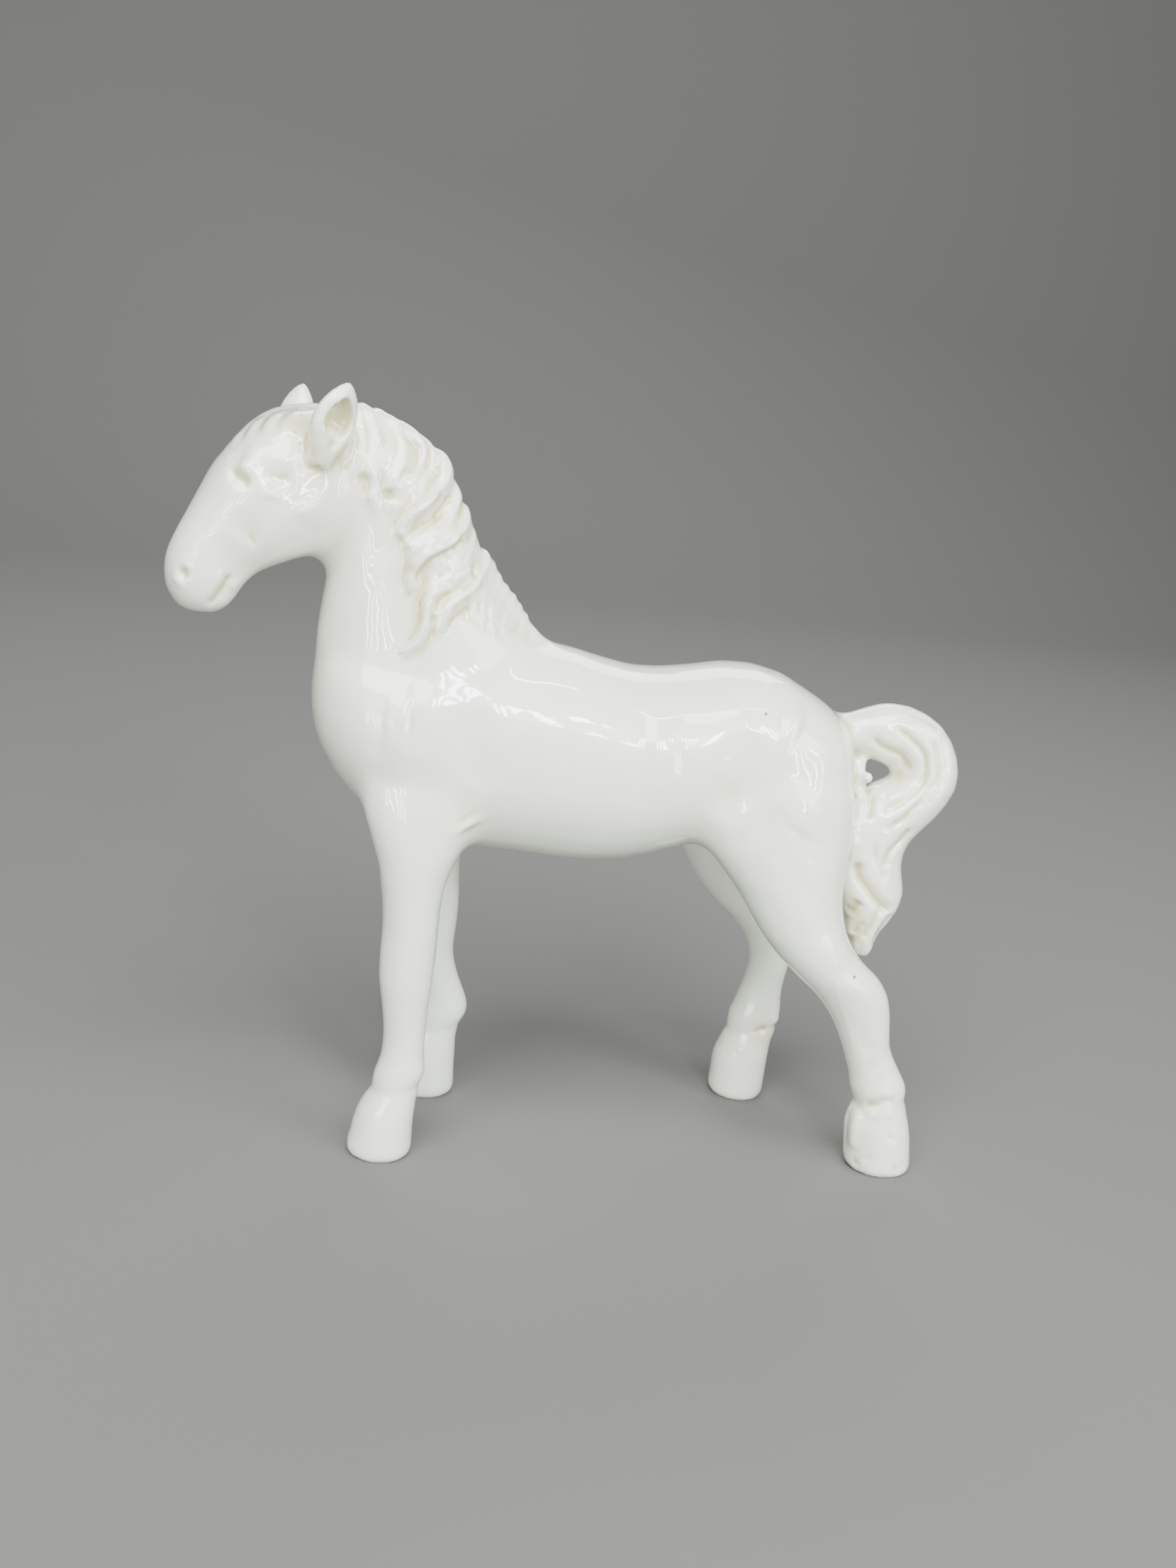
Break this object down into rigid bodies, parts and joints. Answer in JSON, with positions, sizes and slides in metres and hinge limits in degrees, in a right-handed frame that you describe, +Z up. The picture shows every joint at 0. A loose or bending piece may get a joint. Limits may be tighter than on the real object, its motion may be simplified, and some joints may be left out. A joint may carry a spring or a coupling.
{
  "type": "horse figurine",
  "caption": "Glazed white porcelain figure of a walking horse with its head turned to one side, a wavy mane and an arched tail; stands on its hooves as a shelf ornament.",
  "frame": {"origin": "on the ground under the centre of the figure's bounding box", "axes": "+Z up, the nose points to -X, the horse's left side is -Y"},
  "size_m": [0.0806, 0.0234, 0.0748],
  "materials": {
    "glaze": "glossy clear glaze over white porcelain",
    "pooled_glaze": "glossy glaze that has pooled a little thicker and creamier in the locks",
    "slip": "matt fired slip"
  },
  "bodies": {
    "root": {"body_casting": "glaze", "head_casting": "glaze", "neck_slip": "slip", "left_foreleg": "glaze", "left_foreleg_slip": "slip", "right_foreleg": "glaze", "right_foreleg_slip": "slip", "left_hind_leg": "glaze", "left_hind_leg_slip": "slip", "right_hind_leg": "glaze", "right_hind_leg_slip": "slip", "tail": "pooled_glaze", "tail_slip": "slip", "tail_rest_slip": "slip", "left_ear": "glaze", "left_ear_slip": "slip", "right_ear": "glaze", "right_ear_slip": "slip", "mane": "pooled_glaze"}
  },
  "joints": []
}
